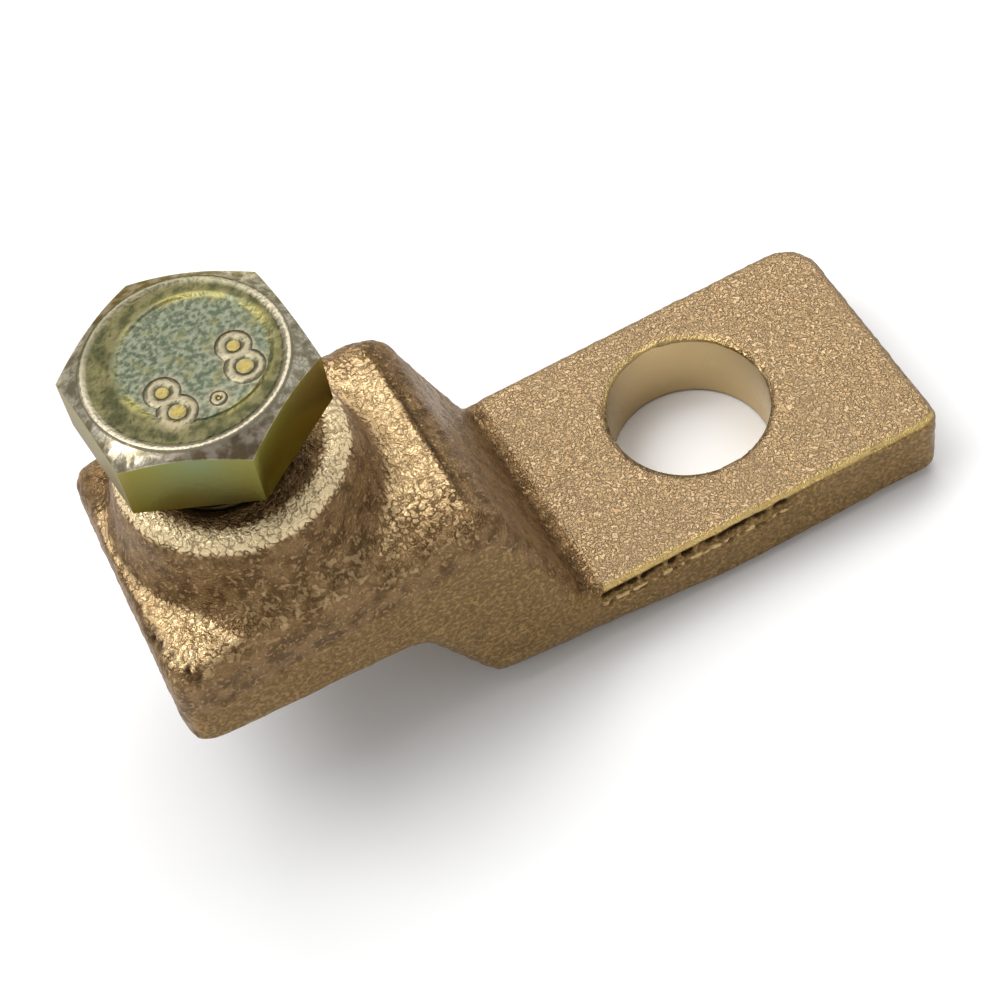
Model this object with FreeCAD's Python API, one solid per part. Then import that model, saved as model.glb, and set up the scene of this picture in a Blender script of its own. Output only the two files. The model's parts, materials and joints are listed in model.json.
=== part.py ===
import FreeCAD, Part
import math
import os

# Offset terminal for a battery: a cast brass bar in one piece, with a low ring end for a stud,
# a sloping shoulder, and a raised block whose round boss takes an M8 hexagon bolt. The gap
# between the boss and the bolt head holds a cable lug.
#
# Frame: millimetres, +Z up. The origin is on the ring hole's axis, in the plane that the ring
# end sits on. +X points to the free end of the ring, +Y to the back.

# Driving dimensions of the ring end
ring_hole_diameter = 10.8
ring_thickness = 6.0
bar_width = 18.0
hole_to_back_edge = 8.3
hole_to_ring_end = 13.5
ring_front_corner_radius = 1.3
ring_back_corner_radius = 2.8
ring_top_edge_bevel = 0.4

# Driving dimensions of the block and the shoulder
hole_to_bolt = 30.2
bolt_to_block_end = 8.8
block_top_height = 18.3
block_end_top_height = 19.4
block_bottom_height = 9.6
block_end_bottom_height = 10.5
block_end_skew = 0.8
block_end_corner_radius = 1.6
block_edge_radius = 1.6
lower_edge_bevel = 0.8
hole_to_flank_foot = 12.5
flank_lean = 20.5
flank_top_radius = 2.4
flank_foot_radius = 2.2
hole_to_web_foot = 18.6
web_lean = 28.5
web_foot_radius = 3.0
web_head_radius = 1.4

# Driving dimensions of the cast bevel along the lower front edge of the shoulder and the ring
relief_run_out = 3.0
relief_height = 3.1
relief_depth = 1.7

# Driving dimensions of the boss
boss_rim_radius = 7.3
boss_height = 6.3
boss_offset = 0.7
boss_draft = 8.0
boss_lip_bevel = 0.6
boss_flare_radius = 2.2

# Driving dimensions of the bolt, an M8 with a thread to the head
thread_radius = 3.97
thread_clearance = 0.05
thread_chamfer = 0.8
hole_mouth_chamfer = 0.5
head_across_flats = 13.0
head_height = 5.3
head_chamfer_angle = 30.0
head_chamfer_share = 0.93
head_turn = 34.6
washer_face_radius = 5.8
washer_face_height = 0.4
clamp_gap = 3.2
bolt_length = 20.0

# Points closer than this count as one point, and a face steeper than this counts as a wall
same_point = 0.0001
upright_tilt = 0.001

# Places worked out from the driving dimensions
back_y = hole_to_back_edge
front_y = hole_to_back_edge - bar_width
bolt_x = -hole_to_bolt
block_end_x = bolt_x - bolt_to_block_end
boss_x = bolt_x + boss_offset
boss_root_height = (block_bottom_height + block_top_height) / 2
boss_top_height = block_top_height + boss_height
head_seat_height = boss_top_height + clamp_gap
flank_rise = block_top_height - ring_thickness
flank_top_x = -hole_to_flank_foot - flank_rise * math.tan(math.radians(flank_lean))
flank_end_x = flank_foot_radius * math.tan(math.radians(90 - flank_lean) / 2) - hole_to_flank_foot
web_head_x = -hole_to_web_foot - block_bottom_height * math.tan(math.radians(web_lean))
block_top_slope = (block_end_top_height - block_top_height) / (flank_top_x - block_end_x)
block_bottom_slope = (block_end_bottom_height - block_bottom_height) / (web_head_x - block_end_x)


def flat_point(along, across, plane):
    """Places a point of a drawing in the XZ or the XY plane."""
    if plane == "XZ":
        return FreeCAD.Vector(along, 0, across)
    return FreeCAD.Vector(along, across, 0)


def rounded_wire(corners, plane):
    """Closes an outline of (along, across, corner radius) with tangent arcs at its corners."""
    points = [flat_point(along, across, plane) for along, across, radius in corners]
    starts, middles, ends = [], [], []
    for index, (along, across, radius) in enumerate(corners):
        corner = points[index]
        to_last = (points[index - 1] - corner).normalize()
        to_next = (points[(index + 1) % len(points)] - corner).normalize()
        half_angle = to_last.getAngle(to_next) / 2
        inward = (to_last + to_next).normalize()
        reach = radius / math.tan(half_angle)
        starts.append(corner + to_last * reach)
        ends.append(corner + to_next * reach)
        middles.append(corner + inward * (radius / math.sin(half_angle) - radius))
    edges = []
    for index, (along, across, radius) in enumerate(corners):
        if radius > 0:
            edges.append(Part.Arc(starts[index], middles[index], ends[index]).toShape())
        following = starts[(index + 1) % len(corners)]
        if not ends[index].isEqual(following, same_point):
            edges.append(Part.LineSegment(ends[index], following).toShape())
    return Part.Wire(edges)


def shoulder_profile():
    """Draws the side of the block and the shoulder, from past the block's end to the ring."""
    overrun_x = block_end_x - boss_rim_radius
    return [
        (flank_end_x, 0, 0),
        (flank_end_x, ring_thickness, 0),
        (-hole_to_flank_foot, ring_thickness, flank_foot_radius),
        (flank_top_x, block_top_height, flank_top_radius),
        (overrun_x, block_top_height + (flank_top_x - overrun_x) * block_top_slope, 0),
        (overrun_x, block_bottom_height + (web_head_x - overrun_x) * block_bottom_slope, 0),
        (web_head_x, block_bottom_height, web_head_radius),
        (-hole_to_web_foot, 0, web_foot_radius),
    ]


def ring_profile():
    """Draws the side of the flat ring end."""
    return [
        (-hole_to_flank_foot, 0, 0),
        (hole_to_ring_end, 0, 0),
        (hole_to_ring_end, ring_thickness, 0),
        (-hole_to_flank_foot, ring_thickness, 0),
    ]


def bar_plan_prism():
    """Raises the bar's outline as seen from above, with its rounded upright corners."""
    outline = [
        (hole_to_ring_end, front_y, ring_front_corner_radius),
        (hole_to_ring_end, back_y, ring_back_corner_radius),
        (block_end_x + block_end_skew, back_y, block_end_corner_radius),
        (block_end_x, front_y, block_end_corner_radius),
    ]
    plan = Part.Face(rounded_wire(outline, "XY"))
    return plan.extrude(FreeCAD.Vector(0, 0, boss_top_height))


def across_the_bar(corners, overrun=0):
    """Runs a side profile across the bar, past its front and back by the overrun."""
    side = Part.Face(rounded_wire(corners, "XZ"))
    side.translate(FreeCAD.Vector(0, front_y - overrun, 0))
    return side.extrude(FreeCAD.Vector(0, bar_width + 2 * overrun, 0))


def boss_drum():
    """Turns the boss: a bevelled lip over a drafted wall that reaches down into the block."""
    slope = math.tan(math.radians(boss_draft))
    lip_radius = boss_rim_radius + boss_lip_bevel * slope
    root_radius = boss_rim_radius + (boss_top_height - boss_root_height) * slope
    half_section = [
        (0, boss_root_height, 0),
        (0, boss_top_height, 0),
        (boss_rim_radius - boss_lip_bevel, boss_top_height, 0),
        (lip_radius, boss_top_height - boss_lip_bevel, 0),
        (root_radius, boss_root_height, 0),
    ]
    section = Part.Face(rounded_wire(half_section, "XZ"))
    drum = section.revolve(FreeCAD.Vector(0, 0, 0), FreeCAD.Vector(0, 0, 1), 360)
    drum.translate(FreeCAD.Vector(boss_x, 0, 0))
    return drum


def flared_block():
    """Joins the boss to an oversize block, flares its foot and cuts the block to its outline."""
    rough = across_the_bar(shoulder_profile(), bar_width).fuse(boss_drum()).removeSplitter()
    walls = [face for face in rough.Faces if isinstance(face.Surface, Part.Cone)]
    drafted = max(walls, key=lambda face: face.Area)
    foot = min(drafted.Edges, key=lambda edge: edge.CenterOfMass.z)
    return rough.makeFillet(boss_flare_radius, [foot]).common(bar_plan_prism())


def face_tilt(face):
    """Gives the upward part of a face's normal at its middle: 1 is a floor, 0 a wall."""
    u_low, u_high, v_low, v_high = face.ParameterRange
    return face.normalAt((u_low + u_high) / 2, (v_low + v_high) / 2).z


def wall_rims(body, looks_up, joined_x):
    """Lists the walls' edges on the faces that look up, or down, but not the one at joined_x."""
    walls = [face for face in body.Faces if abs(face_tilt(face)) < upright_tilt]
    wall_edges = [edge for wall in walls for edge in wall.Edges]
    side = 1 if looks_up else -1
    rims = []
    for face in body.Faces:
        if side * face_tilt(face) > upright_tilt:
            rims += [edge for edge in face.Edges if any(edge.isSame(other) for other in wall_edges)]
    return [edge for edge in rims if abs(edge.CenterOfMass.x - joined_x) > same_point]


def relief_tool():
    """Makes the tool for the bevel along the lower front edge, which runs out to the right."""
    run_out = FreeCAD.Vector(relief_run_out, front_y, 0)
    on_wall = FreeCAD.Vector(-hole_to_web_foot, front_y, relief_height)
    on_floor = FreeCAD.Vector(-hole_to_web_foot, front_y + relief_depth, 0)
    along = (on_wall - run_out).normalize()
    outward = (on_wall - run_out).cross(on_floor - run_out).normalize()
    if outward.y > 0:
        outward = outward * -1
    across = outward.cross(along)
    length = hole_to_web_foot + relief_run_out + web_foot_radius
    corners = []
    for share, sign in ((0, -1), (1, -1), (1, 1), (0, 1)):
        corners.append(run_out + along * length * share + across * bar_width * sign)
    bevel = Part.Face(Part.makePolygon(corners + corners[:1]))
    return bevel.extrude(outward * ring_thickness)


def block_with_boss():
    """Bevels the block's lower rims and rounds its upper ones, where it doesn't join the ring."""
    block = flared_block()
    block = block.makeChamfer(lower_edge_bevel, wall_rims(block, False, flank_end_x))
    return block.makeFillet(block_edge_radius, wall_rims(block, True, flank_end_x))


def ring_end():
    """Cuts the ring end to the bar's outline and bevels its rims, where it doesn't join the block."""
    ring = across_the_bar(ring_profile()).common(bar_plan_prism())
    ring = ring.makeChamfer(lower_edge_bevel, wall_rims(ring, False, -hole_to_flank_foot))
    return ring.makeChamfer(ring_top_edge_bevel, wall_rims(ring, True, -hole_to_flank_foot))


def terminal_body():
    """Joins the block with its boss to the ring, cuts the bevel and drills the two holes."""
    body = block_with_boss().fuse(ring_end()).removeSplitter()
    stud_hole = Part.makeCylinder(ring_hole_diameter / 2, ring_thickness)
    return body.cut([relief_tool(), stud_hole, bolt_hole_tool()])


def bolt_hole_tool():
    """Makes the tool for the bolt's hole, with a 45 degree chamfer at its upper mouth."""
    wall = thread_radius + thread_clearance
    mouth_start = FreeCAD.Vector(bolt_x, 0, boss_top_height - hole_mouth_chamfer)
    hole = Part.makeCylinder(wall, boss_top_height, FreeCAD.Vector(bolt_x, 0, 0))
    return hole.fuse(Part.makeCone(wall, wall + hole_mouth_chamfer, hole_mouth_chamfer, mouth_start))


def hex_bolt():
    """Makes the bolt: a chamfered hexagon head, its washer face and the shank."""
    corner_radius = head_across_flats / 2 / math.cos(math.pi / 6)
    corners = []
    for index in range(6):
        angle = math.radians(head_turn + 60 * index)
        corners.append(FreeCAD.Vector(math.cos(angle), math.sin(angle), 0) * corner_radius)
    hexagon = Part.Face(Part.makePolygon(corners + corners[:1]))
    head = hexagon.extrude(FreeCAD.Vector(0, 0, head_height - washer_face_height))
    head.translate(FreeCAD.Vector(0, 0, washer_face_height))
    flat_radius = head_across_flats / 2 * head_chamfer_share
    slope = math.tan(math.radians(head_chamfer_angle))
    cone_height = flat_radius * slope + head_height
    cone_radius = cone_height / slope
    chamfer_cone = Part.makeCone(cone_radius, flat_radius, head_height)
    head = head.common(chamfer_cone)
    washer_face = Part.makeCylinder(washer_face_radius, washer_face_height)
    tip_end = FreeCAD.Vector(0, 0, -bolt_length)
    thread_start = FreeCAD.Vector(0, 0, thread_chamfer - bolt_length)
    tip = Part.makeCone(thread_radius - thread_chamfer, thread_radius, thread_chamfer, tip_end)
    shank = Part.makeCylinder(thread_radius, bolt_length - thread_chamfer, thread_start)
    bolt = head.fuse([washer_face, shank, tip]).removeSplitter()
    bolt.translate(FreeCAD.Vector(bolt_x, 0, head_seat_height))
    return bolt


os.makedirs("parts", exist_ok=True)
for node, shape in (("terminal_body", terminal_body()), ("hex_bolt", hex_bolt())):
    shape.exportStep("parts/" + node + ".step")
    box = shape.optimalBoundingBox()
    print(node, "valid", shape.isValid(), "solids", len(shape.Solids), "volume", round(shape.Volume, 1), box)
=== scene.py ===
import json
import math

import bmesh
import bpy
import numpy as np
from mathutils import Matrix, Vector, noise


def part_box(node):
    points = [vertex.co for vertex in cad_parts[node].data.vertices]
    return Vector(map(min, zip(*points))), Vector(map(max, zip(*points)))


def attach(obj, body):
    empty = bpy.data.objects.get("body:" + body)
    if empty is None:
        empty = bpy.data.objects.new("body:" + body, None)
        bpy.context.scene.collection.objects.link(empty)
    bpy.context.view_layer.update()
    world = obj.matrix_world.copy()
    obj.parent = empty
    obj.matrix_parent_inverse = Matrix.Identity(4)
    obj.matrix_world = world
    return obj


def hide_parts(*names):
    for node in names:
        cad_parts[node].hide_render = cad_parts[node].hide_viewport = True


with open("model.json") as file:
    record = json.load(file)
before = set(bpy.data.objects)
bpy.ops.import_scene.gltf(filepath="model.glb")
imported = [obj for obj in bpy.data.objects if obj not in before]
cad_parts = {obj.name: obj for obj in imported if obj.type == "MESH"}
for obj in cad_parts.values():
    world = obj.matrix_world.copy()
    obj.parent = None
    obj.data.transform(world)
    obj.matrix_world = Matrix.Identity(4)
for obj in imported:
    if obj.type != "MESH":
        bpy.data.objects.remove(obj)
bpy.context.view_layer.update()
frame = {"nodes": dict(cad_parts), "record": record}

# The looks of a battery ring terminal: a cast brass bar with a coarse sand skin, and an M8
# hexagon bolt with a yellow zinc finish. The scene is in metres. Names that end in _mm, and
# all places inside the shape functions of the casting and the bolt, are in millimetres.

bl_info = {
    "name": "Battery ring terminal",
    "version": (1, 0, 0),
    "blender": (4, 5, 0),
    "location": "3D View > Sidebar > Terminal",
    "description": "Builds the cast terminal, its bolt and a plain stage",
    "category": "Object",
}

MM = 0.001

# Places that the frame gives, in millimetres
MOUNTS = {mount["name"]: mount for mount in frame["record"]["mounts"]}
CAST_LOW, CAST_HIGH = (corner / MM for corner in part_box("terminal_body"))
BOLT_LOW, BOLT_HIGH = (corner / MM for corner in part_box("hex_bolt"))
BOLT_X = (BOLT_LOW.x + BOLT_HIGH.x) / 2
HOLE_RADIUS = MOUNTS["ring_hole"]["dims"]["r_mm"]
RING_TOP_Z = MOUNTS["ring_top"]["pos_m"][2] / MM
BOSS_TOP_Z = MOUNTS["lug_seat"]["pos_m"][2] / MM

# Places on the casting, in millimetres
BOSS_X = -29.5
BOSS_RIM_RADIUS = 7.3
BOLT_HOLE_RADIUS = 4.02
FLANK_FOOT_X, FLANK_FOOT_CORNER_X, FLANK_SLOPE = -11.5, -12.5, 2.67
RIDGE_X = -18.4
BLOCK_TOP_Z, BLOCK_TOP_SLOPE, BLOCK_TOP_START_X = 18.3, 0.05, -17.1
BLOCK_PARTING_X, BLOCK_PARTING_Z, BLOCK_PARTING_SLOPE = -35.0, 14.3, 0.1
SHOULDER_PARTING_X, SHOULDER_PARTING_SLOPE = -12.5, 1.9
FLASH_START_X, FLASH_END_X = -12.0, 5.0
FLASH_GROOVE_Z, FLASH_GROOVE_WIDTH = 5.12, 0.34
FLASH_RIDGE_Z, FLASH_RIDGE_WIDTH = 4.42, 0.24
FLASH_DEPTH, PIT_DEPTH = 0.45, 0.3
# Each pit: (x, y) on the block, reach and share of the depth
PITS = (
    ((-38.45, -5.4), 0.4, 0.6),
    ((-38.2, -6.4), 0.45, 0.75),
    ((-37.95, -7.3), 0.45, 0.8),
    ((-37.75, -8.1), 0.5, 0.9),
    ((-37.45, -8.8), 0.5, 1.0),
    ((-37.1, -9.3), 0.4, 0.7),
)

# How strongly the casting's forms are worked on the fine mesh, from 0 to 1
SHELF_LOWERING, FOOT_TIGHTENING = 0.9, 0.75
# How steeply the left shelf falls, and how the boss's top bends down towards its rim
SHELF_TILT, BOSS_DOME, BOSS_DOME_WIDTH = 0.17, 0.055, 2.9

# The surfaces of the casting that its material tells apart, stored at the vertices
CAST_MASKS = (
    "bore", "ring_face", "band", "top_highlight", "lip", "ridge", "flash", "pits", "front_edge_highlight",
)

# Sizes of the bolt, in millimetres
HEAD_ACROSS_FLATS = 13.0
HEAD_TURN = math.radians(34.6)
HEAD_SEAT_Z = 27.8
WASHER_RADIUS, WASHER_HEIGHT = 5.8, 0.4
FLAT_RADIUS = 6.045
CHAMFER_SLOPE = math.tan(math.radians(30))
HEAD_SIDES = 96
THREAD_RADIUS, THREAD_PITCH, THREAD_DEPTH = 3.97, 1.25, 0.72
THREAD_STEPS = 48
TIP_CHAMFER = 0.8
SHANK_OVERLAP = 0.2
FIELD_DROP, RECESS_DROP = 0.14, 0.24
RECESS_X, RECESS_Y, RECESS_RADIUS = 0.6, 0.1, 4.5
# The chamfer starts this far out of the flat's edge and below the top; a second ring follows
# close under the hexagon's edge, so that the colours of the sides and the chamfer stay apart
CHAMFER_START, EDGE_DROP, UNDER_EDGE_DROP = 0.1, 0.1, 0.25
# The rings inwards of the flat's edge and of the recess's edge: (inset, drop below the top)
RIM_RINGS = ((0.05, 0.03), (0.16, 0.0), (0.3, 0.03), (0.52, FIELD_DROP), (0.7, FIELD_DROP))
RECESS_RINGS = (
    (0.0, FIELD_DROP),
    (0.22, RECESS_DROP),
    (0.4, RECESS_DROP),
    (2.2, RECESS_DROP),
    (3.4, RECESS_DROP),
)
# Two raised rings for each figure 8 and a small one for the dot, on the head: (x, y, radius)
FIGURE_RINGS = (
    (-1.93, -1.20, 0.74),
    (-1.71, -2.83, 0.86),
    (2.81, -0.40, 0.74),
    (2.78, -2.03, 0.86),
    (0.62, -3.25, 0.30),
)
FIGURE_STROKE, DOT_STROKE, FIGURE_RISE = 0.60, 0.26, 0.12
# On the faces down to this depth under the head's highest point, longer edges are divided
TOP_DEPTH, TOP_MESH_STEP = 0.5, 0.35

# Colours in the brass, besides those of the settings
DEEP_SKIN, PALE_GRAIN = (0.13, 0.076, 0.032, 1), (0.40, 0.262, 0.128, 1)
# The band's yellower colours are a painted reflection of the floor below; the band's finer grain
# is real
BAND_REFLECTION_DARK, BAND_REFLECTION_LIGHT = (0.17, 0.105, 0.036, 1), (0.33, 0.205, 0.078, 1)
FACE_DARK, FACE_PATCH = (0.36, 0.24, 0.12, 1), (0.42, 0.30, 0.175, 1)
FACE_LINE = (0.27, 0.175, 0.085, 1)
# Painted highlights: a dimmer gold in the patches on the block's top, and a brighter gold on the
# boss's lip
HIGHLIGHT_DIM, LIP_HIGHLIGHT = (0.68, 0.48, 0.25, 1), (0.98, 0.79, 0.48, 1)
# The first is a painted highlight along the ring's front top edge; the second is the gold of the
# flash's proud ridge
EDGE_HIGHLIGHT, FLASH_GOLD = (0.85, 0.62, 0.24, 1), (0.70, 0.50, 0.24, 1)
# Painted shade in the hollows, the flash's crevice, the pits and along the ridge
CREVICE_SHADE = (0.04, 0.021, 0.009, 1)
BORE_BRASS = (0.56, 0.42, 0.22, 1)

# Colours in the zinc, besides those of the settings
SIDE_GREEN, SIDE_YELLOW = (0.19, 0.25, 0.14, 1), (0.25, 0.22, 0.035, 1)
SIDE_BROWN = (0.33, 0.25, 0.12, 1)
CHAMFER_DARK, CHAMFER_LIGHT = (0.16, 0.12, 0.07, 1), (0.38, 0.32, 0.25, 1)
WORN_DARK, WORN_LIGHT = (0.33, 0.295, 0.19, 1), (0.74, 0.69, 0.54, 1)
WORN_LINE = (0.24, 0.20, 0.12, 1)
FIELD_DARK, FIELD_LIGHT = (0.045, 0.046, 0.022, 1), (0.105, 0.093, 0.045, 1)
RECESS_DARK = (0.06, 0.072, 0.048, 1)
TOP_PATCH, RECESS_ARC = (0.13, 0.12, 0.05, 1), (0.30, 0.26, 0.08, 1)
STROKE_TAN, EYE_GOLD = (0.31, 0.255, 0.165, 1), (0.30, 0.22, 0.06, 1)
# A pale rim along the head's top edge: partly wear, partly a painted highlight that is stronger
# towards the front
RIM_HIGHLIGHT_SILVER = (0.36, 0.32, 0.23, 1)
# Painted shadow under the bolt's head
UNDERSIDE_SHADE = (0.10, 0.08, 0.035, 1)
ZINC_GLOSS = (0.55, 0.50, 0.34, 1)

# The stage: lamps and camera, in millimetres
KEY_PLACE, KEY_SIZE = (85, 200, 385), 340
FILL_PLACE, FILL_SIZE = (-210, 90, 400), 280
LAMP_TARGET = (-14, 0, 12)
SURROUNDINGS_COLOR, SURROUNDINGS_STRENGTH = (0.9, 0.9, 0.9, 1), 0.6
CAMERA_PLACE = (-43.61, -93.50, 149.79)
CAMERA_RIGHT, CAMERA_FORWARD = (0.879, -0.462, -0.120), (0.170, 0.537, -0.826)
CAMERA_SENSOR, CAMERA_LENS = 36.0, 97.0
# In metres
CAMERA_NEAR, FLOOR_SIZE = 0.01, 3.0


class TerminalCastingSettings(bpy.types.PropertyGroup):
    """Sizes and colours of the cast brass body."""

    mesh_step: bpy.props.FloatProperty(
        name="Mesh step", description="Length of the fine mesh's edges",
        default=0.000225, unit="LENGTH",
    )
    grain_height: bpy.props.FloatProperty(
        name="Grain height", description="Height of the sand grain on the block",
        default=0.00009, unit="LENGTH",
    )
    wave_height: bpy.props.FloatProperty(
        name="Wave height", description="Height of the slow waves in the cast faces",
        default=0.00016, unit="LENGTH",
    )
    # Painted shade: the brown of the cast skin is a darker, shaded copy of the brass, for the
    # sides and fronts that lie in shade
    shaded_brown_skin: bpy.props.FloatVectorProperty(
        name="Shaded brown skin", description="Colour of the cast skin",
        default=(0.260, 0.160, 0.074), subtype="COLOR",
    )
    tan_face: bpy.props.FloatVectorProperty(
        name="Tan face", description="Colour of the blasted ring face",
        default=(0.45, 0.32, 0.185), subtype="COLOR",
    )
    # Painted highlight: the gold of the up-facing patches on the block, where the light catches
    # them
    highlight_gold: bpy.props.FloatVectorProperty(
        name="Highlight gold", description="Colour of the rubbed high spots",
        default=(0.84, 0.62, 0.34), subtype="COLOR",
    )


class TerminalBoltSettings(bpy.types.PropertyGroup):
    """Sizes and colours of the hexagon bolt."""

    edge_width: bpy.props.FloatProperty(
        name="Edge width", description="Width of the head's broken edges",
        default=0.00013, unit="LENGTH",
    )
    olive_zinc: bpy.props.FloatVectorProperty(
        name="Olive zinc", description="Colour of the zinc on the sides",
        default=(0.235, 0.215, 0.06), subtype="COLOR",
    )
    silver_zinc: bpy.props.FloatVectorProperty(
        name="Silver zinc", description="Colour of the bare patches in the head's recess",
        default=(0.145, 0.155, 0.108), subtype="COLOR",
    )


class TerminalStageSettings(bpy.types.PropertyGroup):
    """Colours and lights of the plain stage."""

    floor_color: bpy.props.FloatVectorProperty(
        name="Floor colour", description="Colour of the floor",
        default=(0.92, 0.92, 0.92), subtype="COLOR",
    )
    key_power: bpy.props.FloatProperty(
        name="Key power", description="Power of the soft key light",
        default=0.96, unit="POWER",
    )
    fill_power: bpy.props.FloatProperty(
        name="Fill power", description="Power of the soft fill light",
        default=1.1, unit="POWER",
    )


def smooth(low, high, value):
    """Rises softly from 0 at low to 1 at high, which may be the smaller of the two."""
    share = min(1.0, max(0.0, (value - low) / (high - low)))
    return share * share * (3 - 2 * share)


def bell(offset, width):
    """Gives 1 at the middle and falls off softly over the width."""
    return math.exp(-((offset / width) ** 2))


def link_object(name, mesh):
    """Puts a mesh in the scene as a new object."""
    piece = bpy.data.objects.new(name, mesh)
    bpy.context.scene.collection.objects.link(piece)
    return piece


def apply_modifiers(piece):
    """Turns a piece's modifiers into its mesh."""
    view = bpy.context.evaluated_depsgraph_get()
    mesh = bpy.data.meshes.new_from_object(piece.evaluated_get(view))
    old = piece.data
    piece.modifiers.clear()
    piece.data = mesh
    bpy.data.meshes.remove(old)


def shade_by_angle(bm, limit):
    """Shades all faces smooth and keeps the edges sharper than the limit."""
    for face in bm.faces:
        face.smooth = True
    for edge in bm.edges:
        edge.smooth = edge.calc_face_angle(0.0) < limit


# The cast body's shape


def parting_height(x):
    """Gives the height on the front face where the coarse skin ends and the finer band starts."""
    on_block = BLOCK_PARTING_Z + BLOCK_PARTING_SLOPE * (x - BLOCK_PARTING_X)
    on_shoulder = RING_TOP_Z + SHOULDER_PARTING_SLOPE * (SHOULDER_PARTING_X - x)
    return min(on_block, max(RING_TOP_Z, on_shoulder))


def past_boss_rim(point):
    """Gives how far outside the boss's rim a point lies, seen from above."""
    return math.hypot(point.x - BOSS_X, point.y) - BOSS_RIM_RADIUS


def crescent_radius(y):
    """Gives how far from the boss's axis the crescent of painted highlight on the block's left end
    begins.
    """
    return BOSS_RIM_RADIUS + 0.5 + 0.09 * max(0.0, -y - 3.0) ** 1.7


def casting_zones(point, normal):
    """Tells how much a point belongs to each kind of surface on the casting."""
    x, y, z = point
    past_foot = smooth(FLANK_FOOT_X - 0.25, FLANK_FOOT_X + 0.1, x)
    from_hole = math.hypot(x, y)
    from_bolt = math.hypot(x - BOLT_X, y)
    past_rim = past_boss_rim(point)
    from_crescent = math.hypot(x - BOSS_X, y) - crescent_radius(y)
    upright = 1 - smooth(0.5, 0.8, abs(normal.z))
    near_hole = 1 - smooth(0.12, 0.3, abs(from_hole - HOLE_RADIUS))
    near_bolt = 1 - smooth(0.1, 0.3, abs(from_bolt - BOLT_HOLE_RADIUS))
    below_line = 1 - smooth(-0.35, 0.35, z - parting_height(x))
    on_block = smooth(-2.6, -1.2, z - BLOCK_TOP_Z)
    at_ridge = smooth(0.12, -0.12, x - RIDGE_X)
    # Painted highlights: the patches right and left of the boss, and the brow along the block's
    # front top edge, where the up-facing casting catches the light
    right_highlight = smooth(0.50, 0.95, normal.z) * smooth(8.5, 4.5, y) * smooth(-28.5, -26.0, x)
    right_highlight *= smooth(-10.5, -3.4, y) * smooth(0.2, 0.9, past_rim)
    left_highlight = smooth(0.45, 0.9, normal.z) * smooth(-31.0, -34.5, x) * smooth(-10.3, -8.0, y)
    left_highlight *= smooth(-0.1, 0.35, from_crescent) * smooth(5.5, 2.0, y)
    brow = 0.36 * smooth(-3.8, -1.0, z - BLOCK_TOP_Z) * smooth(-5.5, -7.5, y)
    brow *= smooth(0.15, 0.5, normal.z)
    top_highlight = max(max(right_highlight, brow) * at_ridge, left_highlight) * on_block
    # A thin line just past the ridge, darkened by the material as painted shade
    ridge = bell(x - RIDGE_X - 0.22, 0.2) * on_block * smooth(-7.5, -5.0, y) * smooth(5.5, 3.5, y)
    # The boss's lip, where a highlight is painted in gold
    lip = smooth(-1.5, -0.8, z - BOSS_TOP_Z) * smooth(-1.9, -1.3, past_rim)
    # The ring's front top edge, where a highlight is painted in gold
    front_edge_highlight = smooth(0.1, 0.45, -normal.y) * smooth(0.15, 0.4, normal.z)
    front_edge_highlight *= smooth(-0.36, -0.22, z - RING_TOP_Z)
    return {
        "bore": max(near_hole * upright * past_foot, near_bolt * upright),
        "ring_face": smooth(0.8, 0.95, normal.z) * past_foot,
        "ring_side": past_foot * (1 - abs(normal.z)),
        "band": smooth(0.55, 0.85, -normal.y) * below_line,
        "top_highlight": top_highlight,
        "lip": lip,
        "flank": smooth(0.6, 0.9, normal.x) * (1 - past_foot),
        "front_edge_highlight": front_edge_highlight * past_foot,
        "ridge": ridge,
    }


def flash_relief(point, normal):
    """Gives the relief of the broken parting flash under the ring's front edge.

    Its crevice and the broken spots under its ridge are above 0, and the proud ridge is below 0.
    """
    front = smooth(0.2, 0.7, -normal.y)
    ends = smooth(0, 0.5, point.x - FLASH_START_X) * smooth(0, 5.5, FLASH_END_X - point.x)
    ragged = 0.8 + 1.1 * noise.noise(Vector((point.x * 1.9, 0.5, point.z)))
    wander = 0.12 * noise.noise(Vector((point.x * 0.9, 3.5, 0.5)))
    wander += 0.012 * (point.x - FLASH_START_X)
    groove = max(0.0, ragged) * bell(point.z - FLASH_GROOVE_Z - wander, FLASH_GROOVE_WIDTH)
    broken = noise.noise(Vector((point.x * 2.3, 7.5, point.z * 1.6)))
    above_ridge = point.z - FLASH_RIDGE_Z - wander
    ridge = smooth(-0.25, 0.3, broken) * bell(above_ridge, FLASH_RIDGE_WIDTH)
    below = smooth(0.0, 0.4, -broken) * bell(above_ridge + 0.42, 0.2)
    return front * ends * (groove - 0.35 * ridge + 0.5 * below)


def pit_depth(point):
    """Gives how much a point lies in the casting's pits near the block's corner."""
    if point.z < BLOCK_TOP_Z - 3.0 or point.x > BOSS_X:
        return 0.0
    ragged = 0.85 + 1.0 * noise.noise(point * 1.9 + Vector((4, 1, 8)))
    deepest = 0.0
    for (x, y), reach, share in PITS:
        deepest = max(deepest, share * bell(math.hypot(point.x - x, point.y - y), reach))
    return max(0.0, ragged) * deepest


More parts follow.
